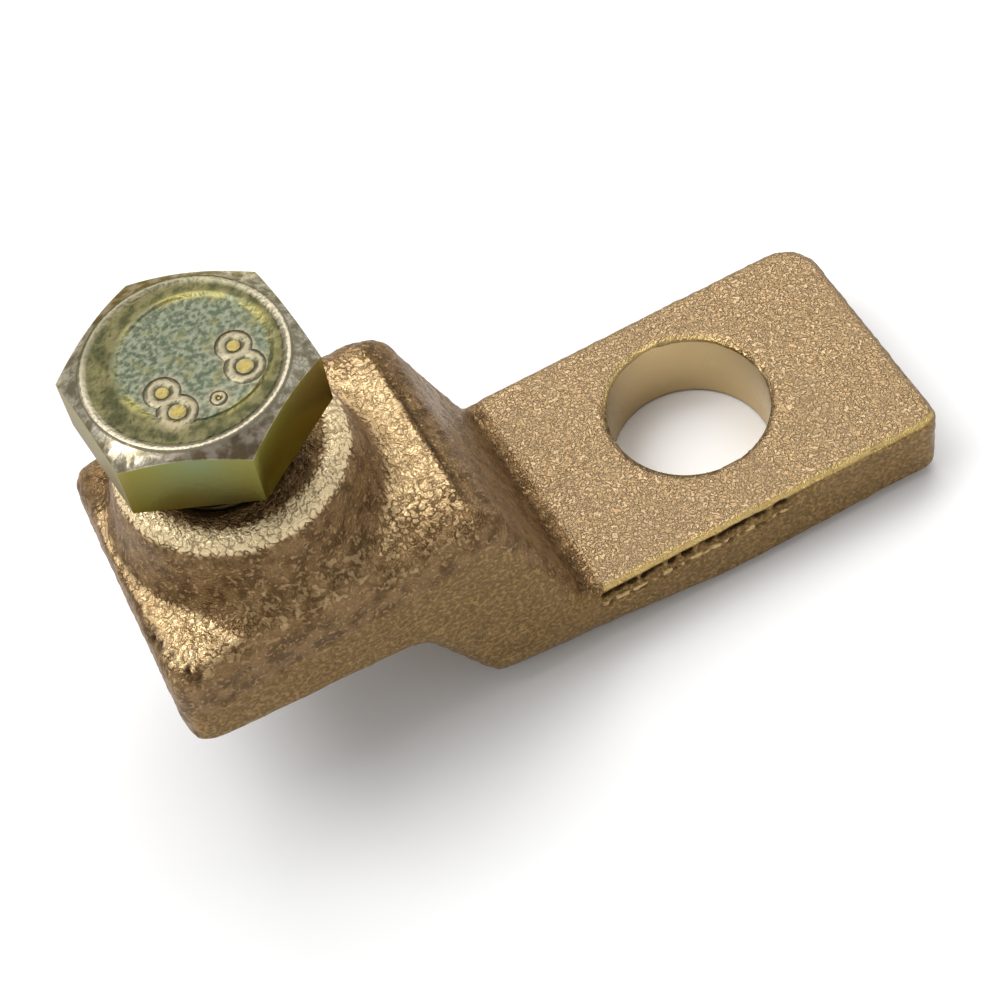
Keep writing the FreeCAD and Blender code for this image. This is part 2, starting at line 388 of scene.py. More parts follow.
def skin_depth(point, zones, casting):
    """Gives how far the cast skin lies under the smooth form at a point."""
    grain = casting.grain_height / MM
    wave = casting.wave_height / MM
    slow = noise.noise(point * 0.16 + Vector((3, 7, 1)))
    coarse = noise.noise(point * 1.1) + 0.8 * noise.noise(point * 2.3)
    calm = 1 - max(0.88 * zones["ring_face"], 0.55 * zones["band"], 0.6 * zones["ring_side"])
    calm *= 1 - 0.4 * zones["flank"]
    depth = 0.5 * wave * (1 + slow) * (1 - 0.7 * zones["ring_face"]) + grain * (1 + coarse) * calm
    return depth + FLASH_DEPTH * zones["flash"] + PIT_DEPTH * zones["pits"]


def even_casting_mesh(casting):
    """Copies the casting's solid, merges it and lays an even fine mesh over it."""
    mesh = frame["nodes"]["terminal_body"].data.copy()
    mesh.materials.clear()
    bm = bmesh.new()
    bm.from_mesh(mesh)
    bmesh.ops.remove_doubles(bm, verts=bm.verts, dist=0.001 * MM)
    bm.to_mesh(mesh)
    bm.free()
    piece = link_object("cast_terminal", mesh)
    remesh = piece.modifiers.new("even_mesh", "REMESH")
    remesh.mode = "VOXEL"
    remesh.voxel_size = casting.mesh_step
    apply_modifiers(piece)
    return piece


def lower_left_shelf(bm):
    """Tightens the boss's flare over the block's left end, where a narrow shelf shows."""
    for vert in bm.verts:
        point = vert.co / MM
        top = BLOCK_TOP_Z + (BLOCK_TOP_START_X - point.x) * BLOCK_TOP_SLOPE
        share = smooth(-31.5, -34.5, point.x) * smooth(0.5, 1.2, past_boss_rim(point))
        share *= smooth(4.0, 2.5, point.z - top)
        if point.z > top:
            vert.co.z -= SHELF_LOWERING * share * (point.z - top) * MM


def tilt_left_shelf(bm):
    """Lets the narrow shelf on the block's left end fall towards the corner."""
    for vert in bm.verts:
        point = vert.co / MM
        outward = past_boss_rim(point) - 0.5
        on_shelf = point.x < -32.0 and point.y < 3.0 and point.z > BLOCK_TOP_Z - 2.5
        if outward > 0 and on_shelf:
            share = smooth(-32.0, -35.0, point.x) * smooth(3.0, 0.0, point.y)
            share *= smooth(-2.5, -0.8, point.z - BLOCK_TOP_Z)
            vert.co.z -= SHELF_TILT * outward * share * MM


def tighten_foot(bm):
    """Narrows the rounded corner between the sloping flank and the ring's top."""
    for vert in bm.verts:
        point = vert.co / MM
        if -13.2 < point.x < -10.7 and RING_TOP_Z < point.z < RING_TOP_Z + 1.6:
            flank = RING_TOP_Z + (FLANK_FOOT_CORNER_X - point.x) * FLANK_SLOPE
            corner = max(RING_TOP_Z, flank)
            if point.z > corner:
                vert.co.z -= FOOT_TIGHTENING * (point.z - corner) * MM


def round_boss_top(bm):
    """Lets the boss's top fall towards its rim, as the worn lip does."""
    for vert in bm.verts:
        point = vert.co / MM
        outward = past_boss_rim(point) + BOSS_DOME_WIDTH
        if outward > 0 and point.z > BOSS_TOP_Z - 2.0:
            share = smooth(-2.0, -0.9, point.z - BOSS_TOP_Z)
            vert.co.z -= BOSS_DOME * outward ** 2 * share * MM


def soften_block(bm):
    """Rounds the block as sand does, most where the boss flows into it, and evens out the rest."""
    def from_axis(point, middle_x):
        return math.hypot(point.x - middle_x, point.y)

    def on_block(point):
        off_bolt = from_axis(point, BOLT_X) > BOLT_HOLE_RADIUS + 1.0
        return point.x < FLANK_FOOT_X and off_bolt

    def on_rim(point):
        near_rim = from_axis(point, BOSS_X) > BOSS_RIM_RADIUS - 2.0
        return point.z > BOSS_TOP_Z - 1.8 and near_rim

    places = [(vert, vert.co / MM) for vert in bm.verts]
    block = [(v, p) for v, p in places if on_block(p)]
    shoulder = [(v, p) for v, p in block if p.z < BOSS_TOP_Z - 2.0]
    upper = [(v, p) for v, p in shoulder if p.z > BLOCK_TOP_Z - 4.5]
    brow = [(v, p) for v, p in upper if p.y < -4.5 and -33.5 < p.x < -16.8]
    flow = [(v, p) for v, p in upper if -33.5 < p.x < -22.5]
    rim = [(v, p) for v, p in block if on_rim(p)]
    steps = ((block, 8), (shoulder, 8), (upper, 6), (flow, 24), (brow, 60), (rim, 22), (places, 3))
    for chosen, turns in steps:
        verts = [vert for vert, place in chosen]
        for _ in range(turns):
            bmesh.ops.smooth_vert(
                bm, verts=verts, factor=0.5, use_axis_x=True, use_axis_y=True, use_axis_z=True
            )


def refine_flash(bm):
    """Divides the mesh along the ring's front edge, where the broken flash is."""
    def near(vert):
        point = vert.co / MM
        along = FLASH_START_X - 0.4 < point.x < FLASH_END_X
        return along and point.y < -9.0 and 3.6 < point.z < 6.2

    edges = [edge for edge in bm.edges if near(edge.verts[0]) and near(edge.verts[1])]
    bmesh.ops.subdivide_edges(bm, edges=edges, cuts=2, use_grid_fill=True)


def snap_to_bores(bm):
    """Puts the walls of the two drilled holes back on their true radius."""
    bores = ((0.0, HOLE_RADIUS, RING_TOP_Z), (BOLT_X, BOLT_HOLE_RADIUS, BOSS_TOP_Z))
    for vert in bm.verts:
        point = vert.co / MM
        for middle_x, radius, top in bores:
            across = Vector((point.x - middle_x, point.y, 0))
            if abs(across.length - radius) < 0.25 and abs(vert.normal.z) < 0.6 and point.z < top:
                across.length = radius
                vert.co = Vector((middle_x + across.x, across.y, point.z)) * MM


def store_attribute(mesh, name, values):
    """Stores one number for each vertex, for the material to read."""
    layer = mesh.attributes.new(name, "FLOAT", "POINT")
    layer.data.foreach_set("value", np.asarray(values, np.float32))


def hollowness(mesh):
    """Measures how hollow (above 0) or proud (below 0) the surface is at each vertex."""
    count = len(mesh.vertices)
    places = np.empty(count * 3)
    mesh.vertices.foreach_get("co", places)
    places = places.reshape(-1, 3)
    normals = np.empty(count * 3)
    mesh.vertices.foreach_get("normal", normals)
    normals = normals.reshape(-1, 3)
    ends = np.empty(len(mesh.edges) * 2, np.int64)
    mesh.edges.foreach_get("vertices", ends)
    ends = ends.reshape(-1, 2)
    degree = np.bincount(ends.ravel(), minlength=count)
    around = np.zeros_like(places)
    np.add.at(around, ends[:, 0], places[ends[:, 1]])
    np.add.at(around, ends[:, 1], places[ends[:, 0]])
    lift = ((around / degree[:, None] - places) * normals).sum(axis=1)
    spread = np.zeros(count)
    np.add.at(spread, ends[:, 0], lift[ends[:, 1]])
    np.add.at(spread, ends[:, 1], lift[ends[:, 0]])
    return (lift + spread / degree) / 2


def build_casting(casting):
    """Makes the cast terminal with its sand skin, flash and pits."""
    piece = even_casting_mesh(casting)
    bm = bmesh.new()
    bm.from_mesh(piece.data)
    lower_left_shelf(bm)
    tilt_left_shelf(bm)
    tighten_foot(bm)
    round_boss_top(bm)
    soften_block(bm)
    refine_flash(bm)
    bm.normal_update()
    snap_to_bores(bm)
    layers = {name: [] for name in CAST_MASKS}
    moves = []
    for vert in bm.verts:
        point = vert.co / MM
        zones = casting_zones(point, vert.normal)
        zones["flash"] = flash_relief(point, vert.normal)
        zones["pits"] = pit_depth(point)
        for name in CAST_MASKS:
            layers[name].append(zones[name])
        depth = skin_depth(point, zones, casting) * (1 - zones["bore"])
        moves.append(vert.normal * (-depth * MM))
    for vert, move in zip(bm.verts, moves):
        vert.co += move
        for axis in range(3):
            vert.co[axis] = min(CAST_HIGH[axis] * MM, max(CAST_LOW[axis] * MM, vert.co[axis]))
    for face in bm.faces:
        face.smooth = True
    bm.to_mesh(piece.data)
    bm.free()
    for name in CAST_MASKS:
        store_attribute(piece.data, name, layers[name])
    store_attribute(piece.data, "hollow", hollowness(piece.data) / MM)
    piece.data.materials.append(cast_brass_material(casting))
    return piece


# The bolt's shape


def hexagon_radius(angle):
    """Gives the distance from the bolt's axis to the hexagon's side in a direction."""
    off_flat = (angle - HEAD_TURN) % math.radians(60) - math.radians(30)
    return HEAD_ACROSS_FLATS / 2 / math.cos(off_flat)


def next_ring(bm, ring, place):
    """Extrudes a closed ring of edges and puts its new corners where place says."""
    made = bmesh.ops.extrude_edge_only(bm, edges=ring)["geom"]
    corners = [item for item in made if isinstance(item, bmesh.types.BMVert)]
    fresh = set(corners)
    for corner in corners:
        corner.co = place(math.atan2(corner.co.y, corner.co.x))
    return [e for e in made if isinstance(e, bmesh.types.BMEdge) and set(e.verts) <= fresh]


def round_place(radius, height, middle_x=0.0, middle_y=0.0):
    """Places a ring's corners on a circle."""
    def place(angle):
        x = middle_x + radius * math.cos(angle)
        y = middle_y + radius * math.sin(angle)
        return Vector((x, y, height))
    return place


def hexagon_place(height_at):
    """Places a ring's corners on the hexagon, at the height that height_at gives for a radius."""
    def place(angle):
        radius = hexagon_radius(angle)
        return Vector((radius * math.cos(angle), radius * math.sin(angle), height_at(radius)))
    return place


def chamfer_height(drop):
    """Gives the function from a radius to the height of a cone, drop below the head's top."""
    return lambda radius: BOLT_HIGH.z - drop - (radius - FLAT_RADIUS) * CHAMFER_SLOPE


def head_mesh():
    """Models the hexagon head: broken rim, recess, chamfer, sides and washer face."""
    top = BOLT_HIGH.z
    seat_edge = HEAD_SEAT_Z + WASHER_HEIGHT
    bm = bmesh.new()
    first = bmesh.ops.create_circle(
        bm, cap_ends=False, radius=FLAT_RADIUS, segments=HEAD_SIDES
    )["verts"]
    turn = Matrix.Rotation(HEAD_TURN, 3, "Z")
    bmesh.ops.rotate(bm, verts=first, cent=(0, 0, 0), matrix=turn)
    bmesh.ops.translate(bm, verts=first, vec=(0, 0, top - EDGE_DROP))
    start = list(bm.edges)
    ring = start
    for inset, drop in RIM_RINGS:
        ring = next_ring(bm, ring, round_place(FLAT_RADIUS - inset, top - drop))
    for inset, drop in RECESS_RINGS:
        place = round_place(RECESS_RADIUS - inset, top - drop, RECESS_X, RECESS_Y)
        ring = next_ring(bm, ring, place)
    bmesh.ops.edgeloop_fill(bm, edges=ring)
    ring = start
    for place in (
        round_place(FLAT_RADIUS + CHAMFER_START, top - EDGE_DROP - CHAMFER_START * CHAMFER_SLOPE),
        hexagon_place(chamfer_height(EDGE_DROP)),
        hexagon_place(chamfer_height(UNDER_EDGE_DROP)),
        hexagon_place(lambda radius: seat_edge),
        round_place(WASHER_RADIUS, seat_edge),
        round_place(WASHER_RADIUS, HEAD_SEAT_Z),
    ):
        ring = next_ring(bm, ring, place)
    bmesh.ops.edgeloop_fill(bm, edges=ring)
    bmesh.ops.recalc_face_normals(bm, faces=bm.faces)
    return bm


def thread_mesh():
    """Models the threaded shank: one tooth spun along a helix, cut flat at both ends."""
    bm = bmesh.new()
    root = THREAD_RADIUS - THREAD_DEPTH
    outline = (
        (root, 0.0), (root, 0.25), (THREAD_RADIUS, 0.5625), (THREAD_RADIUS, 0.6875), (root, 1.0),
    )
    start_z = BOLT_LOW.z - 2 * THREAD_PITCH
    places = [(radius, 0, start_z + share * THREAD_PITCH) for radius, share in outline]
    corners = [bm.verts.new(place) for place in places]
    edges = [bm.edges.new(pair) for pair in zip(corners, corners[1:])]
    turns = math.ceil((HEAD_SEAT_Z - BOLT_LOW.z) / THREAD_PITCH) + 4
    bmesh.ops.spin(
        bm, geom=corners + edges, cent=(0, 0, 0), axis=(0, 0, 1), angle=math.tau * turns,
        dvec=(0, 0, THREAD_PITCH / THREAD_STEPS), steps=THREAD_STEPS * turns, use_merge=False,
    )
    bmesh.ops.remove_doubles(bm, verts=bm.verts, dist=0.002)
    for height, keep_above in ((BOLT_LOW.z, True), (HEAD_SEAT_Z + SHANK_OVERLAP, False)):
        everything = bm.verts[:] + bm.edges[:] + bm.faces[:]
        cut = bmesh.ops.bisect_plane(
            bm, geom=everything, dist=0.0001, plane_co=(0, 0, height), plane_no=(0, 0, 1),
            clear_inner=keep_above, clear_outer=not keep_above,
        )
        rim = [item for item in cut["geom_cut"] if isinstance(item, bmesh.types.BMEdge)]
        bmesh.ops.edgeloop_fill(bm, edges=rim)
    for vert in bm.verts:
        most = THREAD_RADIUS - TIP_CHAMFER + vert.co.z - BOLT_LOW.z
        reach = math.hypot(vert.co.x, vert.co.y)
        if reach > most:
            vert.co.x *= most / reach
            vert.co.y *= most / reach
    bmesh.ops.recalc_face_normals(bm, faces=bm.faces)
    return bm


def figure_mesh(x, y, radius):
    """Models one raised ring of a figure on the head, with a thinner stroke for the small dot."""
    bm = bmesh.new()
    stroke = FIGURE_STROKE if radius > FIGURE_STROKE else DOT_STROKE
    height = BOLT_HIGH.z - RECESS_DROP + FIGURE_RISE - stroke
    circle = bmesh.ops.create_circle(bm, cap_ends=False, radius=stroke, segments=20)["verts"]
    upright = Matrix.Rotation(math.pi / 2, 3, "X")
    bmesh.ops.rotate(bm, verts=circle, cent=(0, 0, 0), matrix=upright)
    bmesh.ops.translate(bm, verts=circle, vec=(x + radius, y, height))
    bmesh.ops.spin(
        bm, geom=bm.verts[:] + bm.edges[:], cent=(x, y, 0), axis=(0, 0, 1), angle=math.tau,
        steps=36, use_merge=True,
    )
    bmesh.ops.recalc_face_normals(bm, faces=bm.faces)
    return bm


def mesh_object(name, bm):
    """Turns a mesh drawn in millimetres about the bolt's axis into an object in its place."""
    bmesh.ops.translate(bm, verts=bm.verts, vec=(BOLT_X, 0, 0))
    bmesh.ops.scale(bm, verts=bm.verts, vec=(MM, MM, MM))
    mesh = bpy.data.meshes.new(name)
    bm.to_mesh(mesh)
    bm.free()
    return link_object(name, mesh)


def head_zones(point):
    """Tells how much a point of the bolt belongs to each kind of surface on the head."""
    across = Vector((point.x - BOLT_X, point.y))
    past_flat = across.length - FLAT_RADIUS
    past_recess = (across - Vector((RECESS_X, RECESS_Y))).length - RECESS_RADIUS
    below_top = point.z - BOLT_HIGH.z
    on_top = smooth(-0.55, -0.3, below_top)
    rim = smooth(-0.5, -0.32, past_flat) * smooth(0.1, 0.0, past_flat)
    strokes, eyes = 0.0, 0.0
    for x, y, radius in FIGURE_RINGS:
        from_middle = (across - Vector((x, y))).length
        strokes = max(strokes, bell(from_middle - radius - 0.05, 0.36))
        eyes = max(eyes, smooth(radius * 0.75, radius * 0.3, from_middle))
    return {
        # The rim's paleness is partly wear and partly a painted highlight, so it is made stronger
        # towards the front
        "rim": rim * on_top * (0.35 + 0.65 * smooth(4.0, 0.0, across.y)),
        "top": on_top * smooth(0.1, 0.0, past_flat),
        "recess": smooth(0.1, -0.1, past_recess) * on_top,
        "recess_rim": bell(past_recess + 0.1, 0.22) * on_top,
        "stroke": strokes * on_top,
        "eye": eyes * on_top,
        "side": smooth(-0.02, -0.1, below_top + EDGE_DROP + past_flat * CHAMFER_SLOPE),
        "wear": max(smooth(0.5, 5.0, across.x), 0.7 * smooth(-2.5, -5.5, across.x)),
        "teal": bell(across.x + 2.6, 1.9) * smooth(-2.0, -4.0, across.y),
        "brown": max(smooth(2.8, 6.3, across.x), smooth(-5.9, -6.3, across.x)),
        # The washer face and the sides' foot under the head, where a shadow is painted
        "under_head_shade": smooth(0.5, 0.35, point.z - HEAD_SEAT_Z),
    }


def build_bolt(settings):
    """Makes the bolt in one piece: head, raised figures and threaded shank."""
    head = mesh_object("zinc_bolt", head_mesh())
    parts = [mesh_object("bolt_thread", thread_mesh())]
    for index, ring in enumerate(FIGURE_RINGS):
        parts.append(mesh_object("figure_ring_%d" % index, figure_mesh(*ring)))
    for part in parts:
        join = head.modifiers.new(part.name, "BOOLEAN")
        join.operation = "UNION"
        join.solver = "EXACT"
        join.object = part
    apply_modifiers(head)
    for part in parts:
        bpy.data.objects.remove(part)
    edges = head.modifiers.new("broken_edges", "BEVEL")
    edges.width = settings.edge_width
    edges.segments = 2
    edges.limit_method = "ANGLE"
    edges.angle_limit = math.radians(29)
    edges.use_clamp_overlap = True
    apply_modifiers(head)
    bm = bmesh.new()
    bm.from_mesh(head.data)

    def near_top(face):
        return face.calc_center_median().z / MM > BOLT_HIGH.z - TOP_DEPTH

    top_faces = [face for face in bm.faces if face.normal.z > 0.9 and near_top(face)]
    bmesh.ops.triangulate(bm, faces=top_faces)
    top_edges = dict.fromkeys(edge for face in bm.faces if near_top(face) for edge in face.edges)
    long_edges = [edge for edge in top_edges if edge.calc_length() / MM > TOP_MESH_STEP]
    bmesh.ops.subdivide_edges(bm, edges=long_edges, cuts=3)
    shade_by_angle(bm, math.radians(33))
    zones = [head_zones(vert.co / MM) for vert in bm.verts]
    bm.to_mesh(head.data)
    bm.free()
    for name in zones[0]:
        store_attribute(head.data, name, [zone[name] for zone in zones])
    head.data.materials.clear()
    head.data.materials.append(zinc_material(settings, list(zones[0])))
    return head


# Materials


def add_node(tree, kind, inputs=None, **values):
    """Adds a shader node and sets its fields and its inputs."""
    node = tree.nodes.new(kind)
    for field, value in values.items():
        setattr(node, field, value)
    for socket, value in (inputs or {}).items():
        if isinstance(value, bpy.types.NodeSocket):
            tree.links.new(value, node.inputs[socket])
        else:
            node.inputs[socket].default_value = value
    return node


def math_node(tree, operation, first, second=0.5, clamp=False):
    """Adds a Math node and returns its result."""
    values = {0: first, 1: second}
    node = add_node(tree, "ShaderNodeMath", values, operation=operation, use_clamp=clamp)
    return node.outputs[0]


def mix_colors(tree, factor, first, second):
    """Mixes two colours and returns the result."""
    node = add_node(tree, "ShaderNodeMix", {0: factor, 6: first, 7: second}, data_type="RGBA")
    return node.outputs[2]


def times(tree, first, second):
    """Multiplies two values."""
    return math_node(tree, "MULTIPLY", first, second)


def inverse(tree, value):
    """Gives 1 where a value is 0, and 0 where it is 1."""
    return math_node(tree, "SUBTRACT", 1.0, value)


def attribute(tree, name):
    """Reads a number that the mesh stores at its vertices."""
    return add_node(tree, "ShaderNodeAttribute", attribute_name=name).outputs["Fac"]


def remap(tree, value, low, high, least=0.0, most=1.0):
    """Maps a value's range from low to high softly to one from least to most."""
    places = {0: value, 1: low, 2: high, 3: least, 4: most}
    return add_node(tree, "ShaderNodeMapRange", places, interpolation_type="SMOOTHSTEP").outputs[0]


def rgba(color):
    """Gives a colour its alpha."""
    return (color[0], color[1], color[2], 1.0)


def grain_group():
    """Builds the group that both metals use: fine grain, its thin crinkles and a slow mottle."""
    tree = bpy.data.node_groups.get("metal_grain")
    if tree:
        return tree
    tree = bpy.data.node_groups.new("metal_grain", "ShaderNodeTree")
    for name, size in (("Grain size", 0.2), ("Mottle size", 2.0)):
        socket = tree.interface.new_socket(name, in_out="INPUT", socket_type="NodeSocketFloat")
        socket.default_value = size
    for name in ("Height", "Crinkle", "Mottle"):
        tree.interface.new_socket(name, in_out="OUTPUT", socket_type="NodeSocketFloat")
    source = add_node(tree, "NodeGroupInput")
    result = add_node(tree, "NodeGroupOutput")
    place = add_node(tree, "ShaderNodeTexCoord").outputs["Object"]
    to_mm = {"Vector": place, "Scale": (1 / MM, 1 / MM, 1 / MM)}
    spot = add_node(tree, "ShaderNodeMapping", to_mm).outputs[0]
    per_grain = math_node(tree, "DIVIDE", 1.0, source.outputs["Grain size"])
    per_mottle = math_node(tree, "DIVIDE", 1.0, source.outputs["Mottle size"])
    fine_noise = {"Vector": spot, "Scale": per_grain, "Detail": 1.8}
    slow_noise = {"Vector": spot, "Scale": per_mottle, "Detail": 4.0}
    fine = add_node(tree, "ShaderNodeTexNoise", fine_noise)
    slow = add_node(tree, "ShaderNodeTexNoise", slow_noise)
    off_middle = math_node(tree, "SUBTRACT", fine.outputs["Fac"], 0.5)
    crinkle = remap(tree, math_node(tree, "ABSOLUTE", off_middle), 0.0, 0.1)
    tree.links.new(fine.outputs["Fac"], result.inputs["Height"])
    tree.links.new(crinkle, result.inputs["Crinkle"])
    tree.links.new(slow.outputs["Fac"], result.inputs["Mottle"])
    return tree


def use_grain(tree, grain_size, mottle_size):
    """Places the grain group in a material and returns its height, crinkles and mottle."""
    node = add_node(tree, "ShaderNodeGroup", node_tree=grain_group())
    node.inputs["Grain size"].default_value = grain_size
    node.inputs["Mottle size"].default_value = mottle_size
    return node.outputs["Height"], node.outputs["Crinkle"], node.outputs["Mottle"]


def new_material(name):
    """Starts a material and returns it with its tree and its Principled shader."""
    material = bpy.data.materials.new(name)
    material.use_nodes = True
    tree = material.node_tree
    shader = tree.nodes["Principled BSDF"]
    return material, tree, shader


def cast_brass_material(casting):
    """Makes the brass: brown cast skin that is a darker copy of the brass as painted shade on the
    sides and fronts, tan blasted ring face, gold painted highlights on the up-facing patches and
    the lip, and painted shade in the hollows.
    """
    material, tree, shader = new_material("cast_brass")
    fine, fine_crinkle, patches = use_grain(tree, 0.28, 4.0)
    coarse, cells, blotches = use_grain(tree, 0.5, 1.1)
    masks = {name: attribute(tree, name) for name in (*CAST_MASKS, "hollow")}

    # The cast skin, a darker copy as painted shade, finer in the band, where it is also yellower
    # as a painted reflection of the floor
    skin = rgba(casting.shaded_brown_skin)
    skin = mix_colors(tree, remap(tree, blotches, 0.36, 0.62), DEEP_SKIN, skin)
    skin = mix_colors(tree, remap(tree, fine, 0.5, 0.68, most=0.7), skin, PALE_GRAIN)
    band = mix_colors(tree, remap(tree, fine, 0.35, 0.65), BAND_REFLECTION_DARK, BAND_REFLECTION_LIGHT)
    skin = mix_colors(tree, times(tree, masks["band"], 0.85), skin, band)

    # The blasted ring face, with thin darker lines
    face = rgba(casting.tan_face)
    face = mix_colors(tree, remap(tree, fine, 0.3, 0.7), FACE_DARK, face)
    face = mix_colors(tree, remap(tree, patches, 0.4, 0.65, most=0.35), face, FACE_PATCH)
    lines = times(tree, inverse(tree, fine_crinkle), 0.4)
    face = mix_colors(tree, lines, face, FACE_LINE)
    color = mix_colors(tree, masks["ring_face"], skin, face)

    # Painted highlights in gold on the up-facing patches and the boss's lip, broken up where the
    # grains stand highest
    highlight_reach = math_node(tree, "MAXIMUM", masks["top_highlight"], masks["lip"])
    grains = math_node(tree, "ADD", times(tree, cells, 1.1), times(tree, coarse, 0.9))
    low_grains = math_node(tree, "SUBTRACT", grains, 2.0)
    highlight_amount = math_node(tree, "ADD", times(tree, highlight_reach, 1.9), low_grains)
    highlighted = math_node(tree, "GREATER_THAN", highlight_reach, 0.01)
    highlight_amount = math_node(tree, "MULTIPLY", highlight_amount, highlighted, clamp=True)
    gold = rgba(casting.highlight_gold)
    gold = mix_colors(tree, remap(tree, blotches, 0.35, 0.65), HIGHLIGHT_DIM, gold)
    # A brighter painted highlight on the boss's lip
    gold = mix_colors(tree, masks["lip"], gold, LIP_HIGHLIGHT)
    color = mix_colors(tree, highlight_amount, color, gold)
    # A painted highlight along the ring's front top edge
    color = mix_colors(tree, times(tree, masks["front_edge_highlight"], 0.8), color, EDGE_HIGHLIGHT)
    proud = remap(tree, masks["flash"], -0.04, -0.22, most=0.75)
    color = mix_colors(tree, proud, color, FLASH_GOLD)

    # Painted shade in the hollows, the flash's crevice, the pits and along the ridge
    painted_shade = remap(tree, masks["hollow"], 0.012, 0.04, most=0.6)
    for place in (
        remap(tree, masks["flash"], 0.2, 0.6, most=0.93),
        remap(tree, masks["pits"], 0.25, 0.7, most=0.93),
        times(tree, masks["ridge"], 0.75),
    ):
        painted_shade = math_node(tree, "MAXIMUM", painted_shade, place)
    color = mix_colors(tree, painted_shade, color, CREVICE_SHADE)
    color = mix_colors(tree, masks["bore"], color, BORE_BRASS)
    tree.links.new(color, shader.inputs["Base Color"])
    shader.inputs["Metallic"].default_value = 1.0

    rough = remap(tree, patches, 0.3, 0.7, least=0.38, most=0.5)
    rough = math_node(tree, "SUBTRACT", rough, times(tree, masks["bore"], 0.15))
    tree.links.new(rough, shader.inputs["Roughness"])
    folds = math_node(tree, "ADD", times(tree, fine_crinkle, 0.35), times(tree, cells, 0.3))
    height = math_node(tree, "ADD", math_node(tree, "ADD", fine, coarse), folds)
    strength = inverse(tree, times(tree, masks["bore"], 0.95))
    bump_inputs = {"Strength": strength, "Distance": 0.00009, "Height": height}
    bump = add_node(tree, "ShaderNodeBump", bump_inputs)
    tree.links.new(bump.outputs["Normal"], shader.inputs["Normal"])
    return material


def zinc_material(settings, mask_names):
    """Makes the yellow zinc: mottled olive, blue-green and silver, with a pale rim that is partly
    wear and partly a painted highlight, and painted shadow under the head.
    """
    material, tree, shader = new_material("zinc_plated_steel")
    fine, crinkle, mottle = use_grain(tree, 0.35, 0.8)
    broad, _, hue = use_grain(tree, 1.1, 4.2)
    masks = {name: attribute(tree, name) for name in mask_names}

    # The hexagon's sides
    sides = rgba(settings.olive_zinc)
    sides = mix_colors(tree, times(tree, masks["teal"], 0.8), sides, SIDE_GREEN)
    sides = mix_colors(tree, remap(tree, hue, 0.4, 0.65, most=0.35), sides, SIDE_YELLOW)
    sides = mix_colors(tree, times(tree, masks["brown"], 0.6), sides, SIDE_BROWN)

    # The chamfer, worn pale with thin darker lines
    specks = remap(tree, mottle, 0.38, 0.6)
    chamfer = mix_colors(tree, specks, CHAMFER_DARK, CHAMFER_LIGHT)
    worn = mix_colors(tree, specks, WORN_DARK, WORN_LIGHT)
    worn = mix_colors(tree, times(tree, inverse(tree, crinkle), 0.5), worn, WORN_LINE)
    chamfer = mix_colors(tree, masks["wear"], chamfer, worn)

    # The flat top: outer field, recess and raised figures
    top = mix_colors(tree, remap(tree, mottle, 0.38, 0.62), FIELD_DARK, FIELD_LIGHT)
    inner = rgba(settings.silver_zinc)
    inner = mix_colors(tree, remap(tree, fine, 0.36, 0.64), RECESS_DARK, inner)
    top = mix_colors(tree, masks["recess"], top, inner)
    top = mix_colors(tree, remap(tree, broad, 0.55, 0.7, most=0.5), top, TOP_PATCH)
    arc = times(tree, masks["recess_rim"], remap(tree, hue, 0.4, 0.6, least=0.1, most=0.8))
    top = mix_colors(tree, arc, top, RECESS_ARC)
    top = mix_colors(tree, times(tree, masks["stroke"], 0.65), top, STROKE_TAN)
    top = mix_colors(tree, times(tree, masks["eye"], 0.75), top, EYE_GOLD)

    color = mix_colors(tree, masks["side"], chamfer, sides)
    color = mix_colors(tree, masks["top"], color, top)
    # A pale rim, partly wear and partly a painted highlight
    color = mix_colors(tree, masks["rim"], color, RIM_HIGHLIGHT_SILVER)
    # Painted shadow under the head
    color = mix_colors(tree, masks["under_head_shade"], color, UNDERSIDE_SHADE)
    tree.links.new(color, shader.inputs["Base Color"])
    shader.inputs["Metallic"].default_value = 1.0
    shader.inputs["Specular Tint"].default_value = ZINC_GLOSS
    rough = math_node(tree, "ADD", 0.26, times(tree, masks["top"], 0.08))
    tree.links.new(rough, shader.inputs["Roughness"])
    strength = math_node(tree, "ADD", 0.12, times(tree, masks["top"], 0.6))
    bump_inputs = {"Strength": strength, "Distance": 0.00007, "Height": fine}
    bump = add_node(tree, "ShaderNodeBump", bump_inputs)
    tree.links.new(bump.outputs["Normal"], shader.inputs["Normal"])
    return material


def floor_material(stage):
    """Makes the plain pale floor, which keeps the object's shadow."""
    material, _, shader = new_material("pale_floor")
    shader.inputs["Base Color"].default_value = rgba(stage.floor_color)
    shader.inputs["Roughness"].default_value = 0.9
    shader.inputs["Specular IOR Level"].default_value = 0.0
    return material


# The stage


def aim(thing, target):
    """Turns a lamp so that it shines towards a point."""
    thing.rotation_euler = (target - thing.location).to_track_quat("-Z", "Y").to_euler()


def add_area_light(name, place_mm, size_mm, power):
    """Adds a square soft light that faces the object."""
    light = bpy.data.lights.new(name, "AREA")
    light.size = size_mm * MM
    light.energy = power
    lamp = bpy.data.objects.new(name, light)
    lamp.location = Vector(place_mm) * MM
    aim(lamp, Vector(LAMP_TARGET) * MM)
    bpy.context.scene.collection.objects.link(lamp)


